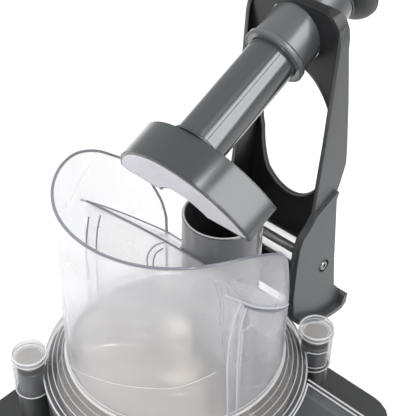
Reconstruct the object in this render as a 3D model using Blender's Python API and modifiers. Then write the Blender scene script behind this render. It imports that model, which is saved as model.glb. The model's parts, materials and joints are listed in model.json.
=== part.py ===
"""A table-top lever-press feed machine: motor base, bowl, spinning disc, clear lid and hopper, lever press.

Lengths are in millimetres and are scaled to metres where a mesh is made. Two frames are used:
machine - the bowl's axis is x = y = 0, +X points to the chute, +Y to the hinge, z = 0 is the lid's rim
lever   - the hinge is the origin, the press stem is vertical, and the arm reaches to -Y
"""

import math

import bmesh
import bpy
from mathutils import Matrix, Vector

MM = 0.001

# Where the machine's frame stands in the world
AXIS_X = -13.0
AXIS_Y = -21.4
RIM_HEIGHT = 228.0

# Base
BASE_HALF_X = 139.0
BASE_FRONT = -150.0
BASE_BACK = 151.0
BASE_TOP = -88.0
BASE_BOTTOM = -216.0
BASE_WALL = 4.0
BASE_CORNER = 30.0
BOSS_RADIUS = 58.0
BOSS_TOP = -80.0
FOOT_SPOTS = ((-112, -122), (112, -122), (-112, 124), (112, 124))
BUTTON_SPOTS = {"start_button": -20.0, "stop_button": 20.0}
BUTTON_Z = -150.0
BUTTON_RADIUS = 9.0

# Motor and rotor
SHAFT_RADIUS = 8.0
BEARING_RADIUS = 17.0
STATOR_LOW = -190.0
STATOR_HIGH = -130.0
FAN_BLADES = 6

# Bowl and chute
BOWL_RADIUS = 107.0
BOWL_INNER = 103.0
BOWL_TOP = -6.0
CHUTE_END = 165.0
CHUTE_HALF = 52.0
DISC_TOP = -8.0

# Lid and hopper
LID_RADIUS = 110.0
LID_DECK = 21.6
HOPPER_RADIUS = 89.0
HOPPER_INNER = 86.5
HOPPER_FOOT = LID_DECK + 0.4
HOPPER_TOP = 184.0
BACK_CENTRE_Y = -97.5
BACK_RADIUS = 116.0
BACK_WALL = 2.5
REAR_END = 58.0
ROOF_SLOPE = 0.9
FEED_Y = 54.0
FEED_RADIUS = 32.5
FEED_INNER = 29.5
FEED_TOP = 127.6
MAGNETS = {"left": (-75.2, -91.9), "right": (76.6, 90.0)}
SOCKET_RADIUS = 14.5

# Hinge and lever
HINGE_Y = 133.8
HINGE_Z = 48.4
HINGE_TUBE = 11.0
HINGE_BORE = 4.4
HINGE_HALF = 38.0
RAISED = -64.7
ARM_HALF = 45.0
ARM_SHEET = 3.5
EAR_HALF = 48.0
STEM_Y = -191.0
STEM_RADIUS = 20.0
STEM_BORE = 15.0
ARM_END = -219.0
WEB_SLOPE = 0.312

# How a drawing's (across, up, out) become x, y, z
AXES = {
    "Z": Matrix.Identity(4),
    "X": Matrix(((0, 0, 1, 0), (1, 0, 0, 0), (0, 1, 0, 0), (0, 0, 0, 1))),
    "FRONT": Matrix(((1, 0, 0, 0), (0, 0, -1, 0), (0, 1, 0, 0), (0, 0, 0, 1))),
    "BACK": Matrix(((-1, 0, 0, 0), (0, 0, 1, 0), (0, 1, 0, 0), (0, 0, 0, 1))),
}

for leftover in list(bpy.data.objects):
    bpy.data.objects.remove(leftover)

parts = bpy.data.collections.new("lever_press_machine")
cutters = bpy.data.collections.new("cutters")
for collection in (parts, cutters):
    bpy.context.scene.collection.children.link(collection)


def frame(name, parent=None, at=(0, 0, 0), turn_x=0.0):
    """An empty that carries every piece of one frame."""
    empty = bpy.data.objects.new(name, None)
    parts.objects.link(empty)
    empty.parent = parent
    empty.location = Vector(at) * MM
    empty.rotation_euler = (math.radians(turn_x), 0, 0)
    return empty


machine = frame("machine", at=(AXIS_X, AXIS_Y, RIM_HEIGHT))
lever = frame("lever_hinge", machine, (0, HINGE_Y, HINGE_Z), RAISED)


# Outlines ------------------------------------------------------------------


def arc(centre, radius, start, end, steps):
    """Points on an arc, from one angle in degrees to another."""
    angles = [math.radians(start + (end - start) * i / steps) for i in range(steps + 1)]
    return [(centre[0] + radius * math.cos(a), centre[1] + radius * math.sin(a)) for a in angles]


def rounded(points, radius, steps=4):
    """A closed outline with each corner replaced by an arc, smaller where the sides are short."""
    outline = []
    for i, corner in enumerate(points):
        corner = Vector(corner)
        before = Vector(points[i - 1]) - corner
        after = Vector(points[(i + 1) % len(points)]) - corner
        half = before.angle(after) / 2
        reach = min(radius / math.tan(half), 0.45 * before.length, 0.45 * after.length)
        middle = corner + (before.normalized() + after.normalized()).normalized() * reach / math.cos(half)
        first = corner + before.normalized() * reach - middle
        last = corner + after.normalized() * reach - middle
        for step in range(steps + 1):
            spoke = first.lerp(last, step / steps)
            outline.append(tuple(middle + spoke * (first.length / spoke.length)))
    return outline


def flowing(points, steps=4):
    """Points on a smooth curve through the given ones."""
    ends = [points[0], *points, points[-1]]
    curve = []
    for a, b, c, d in zip(ends, ends[1:], ends[2:], ends[3:]):
        for step in range(steps):
            t = step / steps
            weights = (-t + 2 * t**2 - t**3, 2 - 5 * t**2 + 3 * t**3, t + 4 * t**2 - 3 * t**3, t**3 - t**2)
            curve.append(tuple(sum(w * p[k] for w, p in zip(weights, (a, b, c, d))) / 2 for k in (0, 1)))
    return [*curve, points[-1]]


def rectangle(low_u, high_u, low_v, high_v):
    return [(low_u, low_v), (high_u, low_v), (high_u, high_v), (low_u, high_v)]


def mirrored(points):
    return [(-u, v) for u, v in points]


# Solids --------------------------------------------------------------------


def solid(name, shape):
    """An object in the parts collection that holds the bmesh."""
    mesh = bpy.data.meshes.new(name)
    shape.normal_update()
    bmesh.ops.recalc_face_normals(shape, faces=shape.faces)
    shape.to_mesh(mesh)
    shape.free()
    mesh.shade_smooth()
    mesh.set_sharp_from_angle(angle=math.radians(30))
    obj = bpy.data.objects.new(name, mesh)
    parts.objects.link(obj)
    return obj


def prism(name, outline, low, high, along="Z"):
    """A flat outline extruded between two heights."""
    curve = bpy.data.curves.new(name, "CURVE")
    curve.dimensions = "2D"
    curve.fill_mode = "BOTH"
    curve.extrude = (high - low) / 2 * MM
    spline = curve.splines.new("POLY")
    spline.points.add(len(outline) - 1)
    for point, (u, v) in zip(spline.points, outline):
        point.co = (u * MM, v * MM, 0, 1)
    spline.use_cyclic_u = True
    source = bpy.data.objects.new(name, curve)
    bpy.context.scene.collection.objects.link(source)
    graph = bpy.context.evaluated_depsgraph_get()
    filled = bpy.data.meshes.new_from_object(source.evaluated_get(graph))
    shape = bmesh.new()
    shape.from_mesh(filled)
    bmesh.ops.remove_doubles(shape, verts=shape.verts, dist=1e-6)
    shape.transform(AXES[along] @ Matrix.Translation((0, 0, (low + high) / 2 * MM)))
    bpy.data.objects.remove(source)
    bpy.data.meshes.remove(filled)
    return solid(name, shape)


def rod(name, radius, low, high, at=(0, 0), along="Z", sides=32, top_radius=None):
    """A cylinder, or a cone with a second radius."""
    shape = bmesh.new()
    bmesh.ops.create_cone(
        shape,
        cap_ends=True,
        segments=sides,
        radius1=radius * MM,
        radius2=(radius if top_radius is None else top_radius) * MM,
        depth=(high - low) * MM,
    )
    shape.transform(AXES[along] @ Matrix.Translation((at[0] * MM, at[1] * MM, (low + high) / 2 * MM)))
    return solid(name, shape)


def box(name, low, high):
    shape = bmesh.new()
    bmesh.ops.create_cube(shape, size=1)
    size = Vector(high) - Vector(low)
    middle = (Vector(high) + Vector(low)) / 2
    shape.transform(Matrix.Translation(middle * MM) @ Matrix.Diagonal((*(size * MM), 1)))
    return solid(name, shape)


def turned(name, profile, at=(0, 0), along="Z", sides=48):
    """A closed profile of (radius, height), or one that starts and ends on the axis, turned by a Screw."""
    loop = all(radius > 0 for radius, _ in profile)
    pairs = list(zip(profile, profile[1:] + profile[:1]))
    area = sum(a[0] * b[1] - b[0] * a[1] for a, b in pairs)
    if area > 0:
        profile = profile[::-1]
    shape = bmesh.new()
    verts = [shape.verts.new((radius * MM, 0, height * MM)) for radius, height in profile]
    for a, b in zip(verts, verts[1:] + (verts[:1] if loop else [])):
        shape.edges.new((a, b))
    mesh = bpy.data.meshes.new(name)
    shape.to_mesh(mesh)
    shape.free()
    obj = bpy.data.objects.new(name, mesh)
    parts.objects.link(obj)
    obj.matrix_basis = AXES[along] @ Matrix.Translation((at[0] * MM, at[1] * MM, 0))
    screw = obj.modifiers.new("Turn", "SCREW")
    screw.steps = sides
    screw.render_steps = sides
    screw.use_merge_vertices = True
    screw.merge_threshold = 0.00001
    screw.use_smooth_shade = True
    return obj


def soften(obj, width, segments=2):
    bevel = obj.modifiers.new("Soften", "BEVEL")
    bevel.width = width * MM
    bevel.segments = segments
    bevel.limit_method = "ANGLE"
    bevel.angle_limit = math.radians(40)
    return obj


def combine(target, operation, tools):
    for tool in tools:
        parts.objects.unlink(tool)
        cutters.objects.link(tool)
        tool.hide_render = True
        tool.display_type = "WIRE"
        boolean = target.modifiers.new(tool.name, "BOOLEAN")
        boolean.operation = operation
        boolean.object = tool
    return target


def cut(target, *tools):
    return combine(target, "DIFFERENCE", tools)


def join(target, *tools):
    return combine(target, "UNION", tools)


def keep(target, *tools):
    return combine(target, "INTERSECT", tools)


def belong(obj, parent):
    """Parents an object and the tools of its Booleans to one frame."""
    obj.parent = parent
    for modifier in obj.modifiers:
        if modifier.type == "BOOLEAN":
            belong(modifier.object, parent)


def finish(obj, material, parent=machine):
    belong(obj, parent)
    obj.data.materials.clear()
    obj.data.materials.append(material)
    return obj


# Materials -----------------------------------------------------------------


def material(name, colour, roughness, metallic=0.0, clear=0.0):
    made = bpy.data.materials.new(name)
    made.use_nodes = True
    shader = made.node_tree.nodes["Principled BSDF"]
    shader.inputs["Base Color"].default_value = (*colour, 1)
    shader.inputs["Roughness"].default_value = roughness
    shader.inputs["Metallic"].default_value = metallic
    shader.inputs["Transmission Weight"].default_value = clear
    return made


CASING = material("casing", (0.035, 0.037, 0.04), 0.55)
ARM_GREY = material("arm_grey", (0.13, 0.14, 0.145), 0.4)
GLOSS_GREY = material("gloss_grey", (0.10, 0.11, 0.115), 0.12)
CLEAR = material("clear_plastic", (0.93, 0.93, 0.95), 0.05, clear=0.95)
SMOKY = material("smoky_plastic", (0.45, 0.46, 0.48), 0.08, clear=0.8)
STEEL = material("steel", (0.62, 0.6, 0.57), 0.3, metallic=1.0)
MAGNET = material("magnet_face", (0.6, 0.57, 0.52), 0.35, metallic=0.6)
RUBBER = material("rubber", (0.02, 0.02, 0.02), 0.8)
BLACK = material("black_plastic", (0.02, 0.02, 0.022), 0.4)
ALUMINIUM = material("aluminium", (0.7, 0.7, 0.71), 0.4, metallic=1.0)
COPPER = material("winding", (0.55, 0.25, 0.1), 0.4, metallic=1.0)
BOARD = material("board_green", (0.03, 0.18, 0.08), 0.5)
GREEN = material("start_green", (0.05, 0.35, 0.12), 0.35)
RED = material("stop_red", (0.5, 0.04, 0.03), 0.35)


# Base ----------------------------------------------------------------------


def base_outline(inset, corner):
    left, right = -BASE_HALF_X + inset, BASE_HALF_X - inset
    return rounded(rectangle(left, right, BASE_FRONT + inset, BASE_BACK - inset), corner, 5)


def base_housing():
    """A shell open below, with a spigot for the bowl, screw bosses and pillars that carry the motor."""
    shell = soften(prism("base_housing", base_outline(0, BASE_CORNER), BASE_BOTTOM, BASE_TOP), 5, 2)
    inside = base_outline(BASE_WALL, BASE_CORNER - BASE_WALL)
    cut(shell, prism("base_inside", inside, BASE_BOTTOM - 5, BASE_TOP - BASE_WALL))
    join(shell, rod("bowl_spigot", BOSS_RADIUS, BASE_TOP - 3, BOSS_TOP, sides=36))
    for i, (x, y) in enumerate(FOOT_SPOTS):
        join(shell, rod(f"screw_boss_{i}", 6, BASE_BOTTOM, BASE_TOP - 2, (x, y), sides=10))
        cut(shell, rod(f"screw_pilot_{i}", 2.2, BASE_BOTTOM - 1, BASE_BOTTOM + 16, (x, y), sides=8))
    for i, (x, y) in enumerate(arc((0, 0), 46, 45, 315, 3)):
        join(shell, rod(f"motor_pillar_{i}", 6, STATOR_HIGH + 12.3, BASE_TOP - 2, (x, y), sides=10))
    cut(shell, rod("shaft_hole", 16, BASE_TOP - 10, BOSS_TOP + 5, sides=24))
    for name, x in BUTTON_SPOTS.items():
        cut(shell, rod(f"{name}_hole", BUTTON_RADIUS + 0.6, 140, 160, (x, BUTTON_Z), "FRONT", 20))
    cut(shell, rod("gland_hole", 8, 140, 160, (-60, -180), "BACK", 16))
    return finish(shell, CASING)


def base_plate():
    plate = prism("base_plate", base_outline(0.5, BASE_CORNER - 0.5), BASE_BOTTOM - 4, BASE_BOTTOM - 0.3)
    for i, (x, y) in enumerate(FOOT_SPOTS):
        cut(plate, rod(f"plate_hole_{i}", 2.6, BASE_BOTTOM - 6, BASE_BOTTOM + 1, (x, y), sides=8))
    for i in range(5):
        slot = rounded(rectangle(-24, 24, -24 + 12 * i - 2.5, -24 + 12 * i + 2.5), 2.4, 2)
        cut(plate, prism(f"vent_{i}", slot, BASE_BOTTOM - 6, BASE_BOTTOM + 1))
    return finish(plate, BLACK)


def feet():
    top, bottom = BASE_BOTTOM - 4.3, -RIM_HEIGHT
    hole = [(4.8, bottom), (4.8, bottom + 4.5), (2.6, bottom + 4.5), (2.6, top)]
    profile = [(15, top), (13.5, bottom), *hole]
    for i, spot in enumerate(FOOT_SPOTS):
        finish(turned(f"foot_{i + 1}", profile, spot, sides=16), RUBBER)


def base_screws():
    seat = -RIM_HEIGHT + 4.2
    head = [(0, seat - 2.4), (4.2, seat - 2.4), (4.2, seat), (1.9, seat), (1.9, seat + 20), (0, seat + 20)]
    for i, spot in enumerate(FOOT_SPOTS):
        finish(turned(f"base_screw_{i + 1}", head, spot, sides=8), STEEL)


def control_panel():
    face = rounded(rectangle(-46, 46, -176, -124), 8)
    panel = prism("control_panel", face, -BASE_FRONT + 0.3, -BASE_FRONT + 3.7, "FRONT")
    for name, x in BUTTON_SPOTS.items():
        cut(panel, rod(f"{name}_window", BUTTON_RADIUS + 0.6, 140, 160, (x, BUTTON_Z), "FRONT", 20))
    return finish(panel, BLACK)


def buttons():
    """Round caps on plungers, held in by a flange behind the wall."""
    profile = [(0, 158), (7.6, 158), (9, 156.6), (9, 145.6), (11.5, 145.6), (11.5, 143.6), (0, 143.6)]
    for (name, x), colour in zip(BUTTON_SPOTS.items(), (GREEN, RED)):
        finish(turned(name, profile, (x, BUTTON_Z), "FRONT", 20), colour)


def control_board():
    board = box("control_board", (-40, -131.6, -180), (40, -130, -120))
    for name, x in BUTTON_SPOTS.items():
        join(board, box(f"{name}_switch", (x - 5, -139.6, BUTTON_Z - 5), (x + 5, -131, BUTTON_Z + 5)))
    return finish(board, BOARD)


def cable_gland():
    flange = [(9.5, 157), (12, 157), (12, 151.3), (7.4, 151.3)]
    profile = [(4, 172), (7, 172), (9.5, 160), *flange, (7.4, 142), (4, 142)]
    return finish(turned("cable_gland", profile, (-60, -180), "BACK", 16), BLACK)


# Motor and rotor -----------------------------------------------------------


def motor():
    low, high = STATOR_LOW, STATOR_HIGH
    stator = [(52, high), (52, low), (34, low), (34, high)]
    finish(turned("motor_stator", stator, sides=24), COPPER)
    seat = BEARING_RADIUS + 0.3
    lower = [(54, low - 0.3), (54, low - 4), (26, low - 11), (12, low - 11), (12, low - 10.3)]
    finish(turned("motor_lower_bell", [*lower, (seat, low - 10.3), (seat, low - 0.3)], sides=24), ALUMINIUM)
    upper = [(54, high + 12), (54, high + 0.3), (seat, high + 0.3), (seat, high + 10.3)]
    finish(turned("motor_upper_bell", [*upper, (12, high + 10.3), (12, high + 12)], sides=24), ALUMINIUM)
    for name, z in (("lower_bearing", low - 10), ("upper_bearing", high + 0.6)):
        bore = SHAFT_RADIUS + 0.3
        race = [(BEARING_RADIUS, z + 9.4), (BEARING_RADIUS, z), (bore, z), (bore, z + 9.4)]
        finish(turned(name, race, sides=16), STEEL)
    lip = [(15.7, -80.4), (15.7, -91.6), (8.4, -91.6), (8.4, -80.4)]
    finish(turned("shaft_seal", lip, sides=16), RUBBER)


def drive():
    """Everything that spins on the one shaft."""
    shaft = [(0, 20), (7, 20), (SHAFT_RADIUS, 19), (SHAFT_RADIUS, -212), (0, -212)]
    finish(turned("drive_shaft", shaft, sides=16), STEEL)
    core = [(33.4, -132), (33.4, -188), (8.3, -188), (8.3, -132)]
    finish(turned("motor_rotor", core, sides=20), STEEL)
    fan_hub = [(8.3, -210.3), (8.3, -203), (13, -203), (13, -208.8)]
    fan = turned("cooling_fan", [(46, -208.8), (46, -210.3), *fan_hub], sides=24)
    for i in range(FAN_BLADES):
        blade = box(f"fan_blade_{i}", (11, -0.8, -209.5), (44, 0.8, -203))
        blade.rotation_euler = (0, 0, i * math.tau / FAN_BLADES)
        join(fan, blade)
    finish(fan, BLACK)


def discs():
    """The ejector that sweeps the chute, the cutting disc, and the cap that holds both on the shaft."""
    bore = SHAFT_RADIUS + 0.4
    neck = [(bore, -57.4), (bore, -11.4), (16, -11.4), (20, -50)]
    ejector = turned("ejector_disc", [(98, -50), (98, -53), *neck], sides=36)
    for i in range(2):
        vane = box(f"vane_{i}", (14, -2.5, -51), (94, 2.5, -38))
        vane.rotation_euler = (0, 0, i * math.pi)
        join(ejector, vane)
    finish(ejector, BLACK)
    plate = [(99, DISC_TOP), (99, -11), (bore, -11), (bore, DISC_TOP)]
    finish(turned("grating_disc", plate, sides=48), STEEL)
    dome = flowing([(0.0, 53.0), (7.0, 51.5), (12.0, 46.0), (13.4, 38.0)], 2)
    cap = [*dome, (14, 0), (22, -5), (22, -7.7), (bore, -7.7), (bore, 21), (0, 21)]
    finish(turned("disc_hub", cap, sides=24), STEEL)


# Bowl ----------------------------------------------------------------------


def bowl():
    """A round bowl with a shaft sleeve, a rim, and an open trough for the chute."""
    foot = BOSS_RADIUS + 0.6
    low = BASE_TOP + 0.3
    profile = [(109, BOWL_TOP), (109, -10), (BOWL_RADIUS, -12), (BOWL_RADIUS, -84), (103.5, low)]
    profile += [(foot, low), (foot, BOSS_TOP + 0.4), (11, BOSS_TOP + 0.4), (11, -58), (15, -58), (15, -76)]
    profile += [(99, -76), (BOWL_INNER, -72), (BOWL_INNER, BOWL_TOP)]
    body = turned("bowl", profile, sides=48)
    join(body, box("trough", (90, -CHUTE_HALF, -60), (CHUTE_END, CHUTE_HALF, BOWL_TOP)))
    cut(body, rod("bowl_room", BOWL_INNER, -72, BOWL_TOP + 4, sides=48))
    half = CHUTE_HALF - 3.5
    cut(body, box("trough_room", (84, -half, -56.5), (CHUTE_END + 5, half, BOWL_TOP + 4)))
    return finish(body, CASING)


def latch_posts():
    for side, spot in MAGNETS.items():
        post = rod(f"latch_post_{side}", 13, BASE_TOP + 0.3, -15, spot, sides=24)
        cut(post, rod(f"post_relief_{side}", 109.4, -100, 0, sides=48))
        finish(post, CASING)


# Lid and hopper ------------------------------------------------------------


def back_arc(radius, reach, steps, first=None):
    """The back wall's arc from where it meets the hopper's wall, at +X, to its mirror point or to an x."""
    far = BACK_CENTRE_Y**2
    end = math.degrees(math.acos((radius**2 + far - reach**2) / (2 * radius * -BACK_CENTRE_Y)))
    stop = -end if first is None else math.degrees(math.asin(first / radius))
    return arc((0, BACK_CENTRE_Y), radius, 90 - end, 90 - stop, steps)


def arc_point(radius, x):
    """The point at x on an arc round the back wall's centre."""
    return (x, BACK_CENTRE_Y + math.sqrt(radius**2 - x * x))


def rear_outline(end, outer, front):
    """The plan of the space behind the back wall, out to the hopper's wall and back to its rear end."""
    wall = back_arc(front, outer, 24)
    start = math.degrees(math.atan2(wall[0][1], wall[0][0]))
    stop = math.degrees(math.asin(end / outer))
    left = arc((0, 0), outer, 180 - start, 180 - stop, 10)
    right = arc((0, 0), outer, stop, start, 10)
    return [*wall, *left[1:], *right[:-1]]


def above_roof(name, drop):
    """Everything over the roof that slopes down to the rear."""
    low, high = -40, 140
    line = [(y, 138 - ROOF_SLOPE * (y + 21) - drop) for y in (low, high)]
    return prism(name, [*line, (high, 260), (low, 260)], -100, 100, "X")


def rear_shell():
    """The shell behind the back wall, and the room inside it, which is open below."""
    outer = rear_outline(REAR_END + 0.8, HOPPER_RADIUS - 1.2, BACK_RADIUS + 0.6)
    inner = rear_outline(REAR_END - BACK_WALL, HOPPER_INNER - 0.2, BACK_RADIUS + BACK_WALL + 0.3)
    body = cut(prism("rear_shell", outer, HOPPER_FOOT + 1, 180), above_roof("roof", 0))
    room = cut(prism("rear_room", inner, 10, 180), above_roof("ceiling", 3.4))
    return body, room


def hopper():
    """The clear feed hopper: a wall with a swept rim, a curved back wall, and a sloping roof behind it."""
    foot, top = HOPPER_FOOT, HOPPER_TOP
    wall = [(HOPPER_RADIUS, top), (HOPPER_RADIUS, foot), (HOPPER_INNER, foot), (HOPPER_INNER, top)]
    body = turned("hopper", wall, sides=80)
    high = [(-46, 184.6), (-22, 181), (0, 172), (17, 160), (33, 146), (44.5, 130), (50, 116), (55, 100)]
    swept = [(-52, 185), *flowing(high), (REAR_END, 84), (REAR_END, 0), (130, 0), (130, 220), (-52, 220)]
    cut(body, prism("rim_sweep", swept, -120, 120, "X"))
    front = back_arc(BACK_RADIUS, HOPPER_RADIUS - 1.5, 24)
    rear = back_arc(BACK_RADIUS + BACK_WALL, HOPPER_RADIUS - 1.5, 24)
    screen = prism("back_wall", [*front, *rear[::-1]], foot + 0.5, 150)
    cut(screen, above_roof("wall_slope", -1.2))
    shell, room = rear_shell()
    join(body, screen, shell)
    ear = flowing([(12, 166), (20, 158), (28, 147), (34, 132), (40, 114), (47, 96), (54, 79), (58.9, 70)])
    cut(body, prism("right_ear", [*ear, (130, 70), (130, 220), (12, 220)], 20, 120, "X"))
    for name, low, high in (("left", -82, -74), ("right", 74, 82)):
        band = [arc_point(BACK_RADIUS - 2.6, low + i * (high - low) / 4) for i in range(5)]
        band += [arc_point(BACK_RADIUS + 1, high - i * (high - low) / 4) for i in range(5)]
        join(body, prism(f"guide_rib_{name}", band, foot + 1.5, 108))
    cut(body, room, rod("tube_room", FEED_RADIUS + 0.4, 0, 160, (0, FEED_Y), sides=40))
    return finish(body, CLEAR)


def feed_tube():
    foot, top = -4.0, FEED_TOP
    profile = [(FEED_RADIUS, top - 1), (FEED_RADIUS, foot), (FEED_INNER, foot), (FEED_INNER, top - 1)]
    profile += [(FEED_INNER + 1, top), (FEED_RADIUS - 1, top)]
    return finish(turned("feed_tube", profile, (0, FEED_Y), sides=40), SMOKY)


def lid():
    """The clear lid: rim, sloping shoulder, deck behind the hopper, magnet sockets and the hinge carrier."""
    under = [(LID_RADIUS, 3), (LID_RADIUS, -3), (104, -3), (104, 0.5), (HOPPER_INNER, 17.6)]
    over = [(HOPPER_INNER, LID_DECK), (HOPPER_RADIUS + 1, LID_DECK), (106.5, 4.6), (108.5, 4.4)]
    body = turned("lid", [*under, *over], sides=64)
    deck = rod("deck", HOPPER_INNER + 1.5, 17.9, LID_DECK - 0.2, sides=48)
    cut(deck, rod("chamber", BACK_RADIUS, 0, 40, (0, BACK_CENTRE_Y), sides=64))
    join(body, deck)
    for side, spot in MAGNETS.items():
        join(body, rod(f"socket_{side}", SOCKET_RADIUS, -14, 22, spot, sides=24))
    gusset = [(124, 55), (84, 21), (84, 18), (104, -1), (109, -2), (113, 3), (137, 40), (133, 50)]
    for x in (-34, 34):
        join(body, prism(f"gusset_{x}", gusset, x - 1.5, x + 1.5, "X"))
    join(body, rod("hinge_tube", HINGE_TUBE, -HINGE_HALF, HINGE_HALF, (HINGE_Y, HINGE_Z), "X", 24))
    cut(body, rod("feed_hole", FEED_RADIUS + 0.5, 0, 40, (0, FEED_Y), sides=40))
    cut(body, rod("hinge_bore", HINGE_BORE, -60, 60, (HINGE_Y, HINGE_Z), "X", 16))
    for side, spot in MAGNETS.items():
        cut(body, rod(f"magnet_seat_{side}", 10.6, 14.7, 30, spot, sides=20))
        cut(body, rod(f"skirt_room_{side}", 11.5, -20, 10, spot, sides=20))
    cut(body, rod("rim_relief", 109.6, -30, -3.1, sides=64))
    return finish(body, CLEAR)


def lid_fittings():
    """The seal under the rim, and a magnet with its cap in each socket."""
    ring = [(108.5, -3.3), (108.5, -5.7), (104.5, -5.7), (104.5, -3.3)]
    finish(turned("lid_seal", ring, sides=40), RUBBER)
    for side, spot in MAGNETS.items():
        finish(rod(f"magnet_{side}", 10, 15, 21, spot, sides=20), MAGNET)
        cap = [(0, 26), (12.5, 26), (14.3, 24.6), (14.3, 22.3), (0, 22.3)]
        finish(turned(f"magnet_cap_{side}", cap, spot, sides=24), CLEAR)


def chute_cover():
    """A lid over the trough, with a raised double border along each side."""
    cover = box("chute_cover", (98, -58, BOWL_TOP + 0.4), (CHUTE_END, 58, 2))
    soften(cover, 1.2, 1)
    half = CHUTE_HALF - 3.5
    cut(cover, box("cover_room", (90, -half, -10), (CHUTE_END + 5, half, -1)))
    for i, y in enumerate((-57, -53.2, 53.2, 57)):
        join(cover, box(f"border_{i}", (100, y - 0.7, 0), (CHUTE_END - 1, y + 0.7, 3.2)))
    cut(cover, rod("cover_relief", LID_RADIUS + 0.4, -20, 20, sides=64))
    return finish(cover, CLEAR)


# Lever, in the lever's frame -----------------------------------------------


def arm_plan(inset):
    """The arm seen from above, from its round-cornered end to well past its tail."""
    half, corner = ARM_HALF - inset, 22 - inset
    end = ARM_END + inset
    right = arc((half - corner, end + corner), corner, 0, -90, 5)
    left = arc((corner - half, end + corner), corner, -90, -180, 5)
    return [(half, 90), *right, *left, (-half, 90)]


ARM_BACK = [(-214, 103), (-188, 92), (-143, 79.5), (-95, 64.5), (-80, 59), (-66, 46)]
ARM_EAR = [(-58, 37), (-20, 24), (9, 14), (42, 4), (64, 9), (72, 4), (73, -3), (66, -14), (57, -25)]
ARM_KNEE = [(19, -50.8), (-7, -42.5), (-38, -27), (-54, -17.5), (-61, -10), (-63, 0), (-68, 10.7)]
ARM_BELLY = [(-82, 19.4), (-107, 34), (-122, 43), (-161, 64.5), (-205, 88.5), (-218, 95), (-219, 100)]


def arm_side():
    """The arm seen from +X: its back edge from end to tail, then its lower edge."""
    return rounded([*ARM_BACK, *ARM_EAR, *ARM_KNEE, *ARM_BELLY], 7, 2)


def inset(points, distance):
    """A clockwise outline moved inwards."""
    moved = []
    for i, point in enumerate(points):
        before = (Vector(point) - Vector(points[i - 1])).normalized()
        after = (Vector(points[(i + 1) % len(points)]) - Vector(point)).normalized()
        inward = Vector((before.y + after.y, -before.x - after.x)).normalized()
        reach = distance / max(0.5, inward.dot(Vector((before.y, -before.x))))
        moved.append(tuple(Vector(point) + inward * reach))
    return moved


def ear_side():
    """The outboard ears beside the hinge, with the step where they leave the arm's flanges."""
    return rounded(inset([ARM_BACK[-1], *ARM_EAR, *ARM_KNEE], 1.2), 6, 2)


def arm_web():
    """The sheet between the flanges. It follows the back edge down to the ears."""
    under = [(ARM_END - 2, 94.9), (-84, 52.1), (-62, 37.3), (-56, 33.2), (-20, 20.8), (6, 11.8)]
    over = [(y, z + 3) for y, z in under]
    sheet = prism("web", [*under, *over[::-1]], -ARM_HALF, ARM_HALF, "X")
    return keep(sheet, prism("web_plan", arm_plan(1.5), -80, 130))


def arm_opening():
    """An oval through the web, square to it."""
    oval = [(38 * math.cos(a), 66 * math.sin(a)) for a in [math.tau * i / 40 for i in range(40)]]
    opening = prism("oval", oval, -22, 26)
    tilt = Matrix.Rotation(-math.atan(WEB_SLOPE), 4, "X")
    opening.matrix_basis = Matrix.Translation((0, -101 * MM, 58.9 * MM)) @ tilt
    return opening


def lever_arm():
    outer, inner = arm_plan(0), arm_plan(ARM_SHEET)
    walls = prism("lever_arm", [*outer, *inner[::-1]], -70, 120)
    keep(walls, prism("arm_profile", arm_side(), -60, 60, "X"))
    join(walls, arm_web())
    for x in (-1, 1):
        low, high = sorted((x * (ARM_HALF - 2), x * EAR_HALF))
        join(walls, prism(f"ear_{x}", ear_side(), low, high, "X"))
        strip_low, strip_high = sorted((x * (ARM_HALF - 1.5), x * 54))
        strip = [(57, -25.6), (19, -51.4), (16.5, -47.6), (54.8, -21.6)]
        join(walls, prism(f"lip_{x}", strip, strip_low, strip_high, "X"))
    tail = [(64, 9.5), (72.4, 4.2), (73.4, -3), (66.4, -14.3), (57, -25.6)]
    tail += [(54, -22.4), (62.4, -12), (68, -2), (62, 5)]
    join(walls, prism("tail_bar", tail, -54, 54, "X"))
    cut(walls, arm_opening(), rod("sleeve_hole", 24.4, 60, 130, (0, STEM_Y), sides=32))
    cut(walls, rod("axle_hole", 4.3, -80, 80, along="X", sides=16))
    for x in (-1, 1):
        low, high = sorted((x * 45.5, x * 60))
        cut(walls, rod(f"head_seat_{x}", 6, low, high, along="X", sides=20))
    return finish(walls, ARM_GREY, lever)


def press():
    """The stem in its guide sleeve, and the plate that pushes the food down."""
    axis = (0, STEM_Y)
    bore = STEM_RADIUS + 0.3
    lip = [(bore, 127.6), (24, 127.6), (24, 64), (26, 63), (26, 60), (24.6, 58.6), (bore, 58.6)]
    finish(turned("guide_sleeve", lip, axis, sides=32), ARM_GREY, lever)
    stem = [(STEM_RADIUS, 127.6), (STEM_RADIUS, -32.1), (STEM_BORE, -32.1), (STEM_BORE, 127.6)]
    finish(turned("press_stem", stem, axis, sides=40), GLOSS_GREY, lever)
    centre, radius, rear, notch = (0, -141), 68, -156, (0, -144)
    edge = math.degrees(math.asin((rear - centre[1]) / radius))
    bite = math.degrees(math.asin((rear - notch[1]) / 26))
    front = arc(centre, radius, edge - 8, -180 - edge + 8, 30)
    dent = arc(notch, 26, -180 - bite, bite, 12)
    corner = [(radius * math.cos(math.radians(edge - 3)) - 1.5, rear - 1.2), (radius - 9, rear)]
    outline = [*front, *mirrored(corner), *dent, *corner[::-1]]
    plate = soften(prism("press_plate", outline, -63.4, -32.4), 1.4, 1)
    cut(plate, rod("pusher_bore", STEM_BORE, -80, 0, axis, sides=28))
    finish(plate, GLOSS_GREY, lever)


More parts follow.
